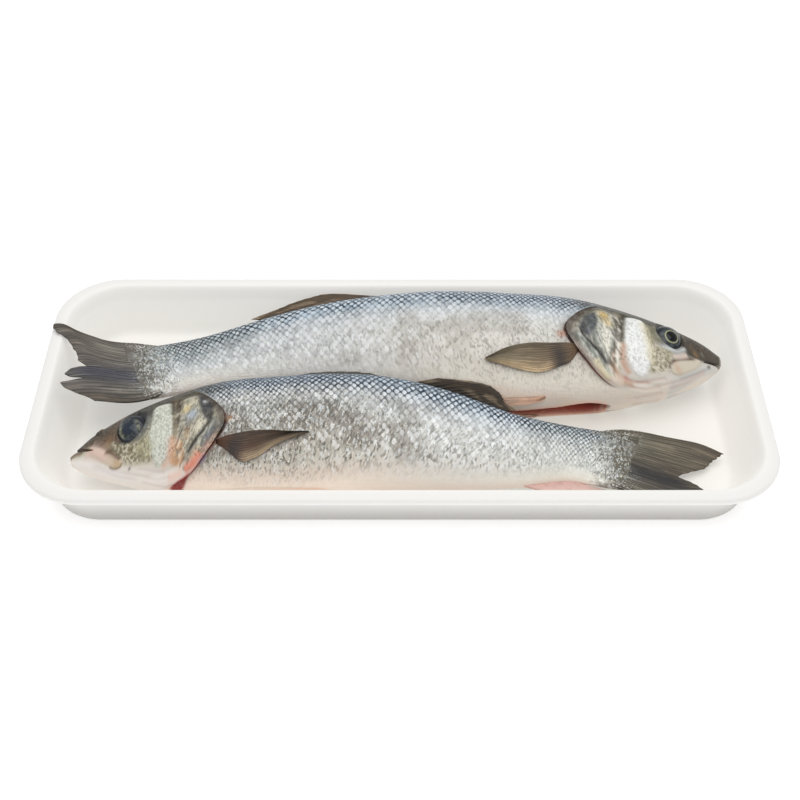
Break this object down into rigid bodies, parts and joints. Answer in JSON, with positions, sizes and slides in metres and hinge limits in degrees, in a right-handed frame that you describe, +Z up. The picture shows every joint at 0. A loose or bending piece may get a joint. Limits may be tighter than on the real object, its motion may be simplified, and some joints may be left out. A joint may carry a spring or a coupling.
{
  "type": "whole branzino",
  "caption": "Whole gutted branzino laid head to tail in a shallow rounded tray, with fins, eyes, gill covers, open mouth and belly cut.",
  "frame": {"origin": "middle of the tray's flat underside", "axes": "+X along the tray towards the rear fish's head, +Y across the tray towards the rear fish's side, +Z up"},
  "size_m": [0.35, 0.154, 0.0443],
  "materials": {
    "tray": "white foam with a soft sheen",
    "fish_skin": "wet silver skin with blue-grey back scales and a cream belly",
    "fin": "wet brown-grey rays and membrane",
    "flesh": "wet dark red inside of the belly cut, mouth and gills",
    "eye": "wet glossy eye with a pale ring"
  },
  "bodies": {
    "root": {"tray": "tray", "rear_fish": "fish_skin", "front_fish": "fish_skin", "rear_fish_upper_eye": "eye", "rear_fish_lower_eye": "eye", "front_fish_upper_eye": "eye", "front_fish_lower_eye": "eye"}
  },
  "joints": []
}
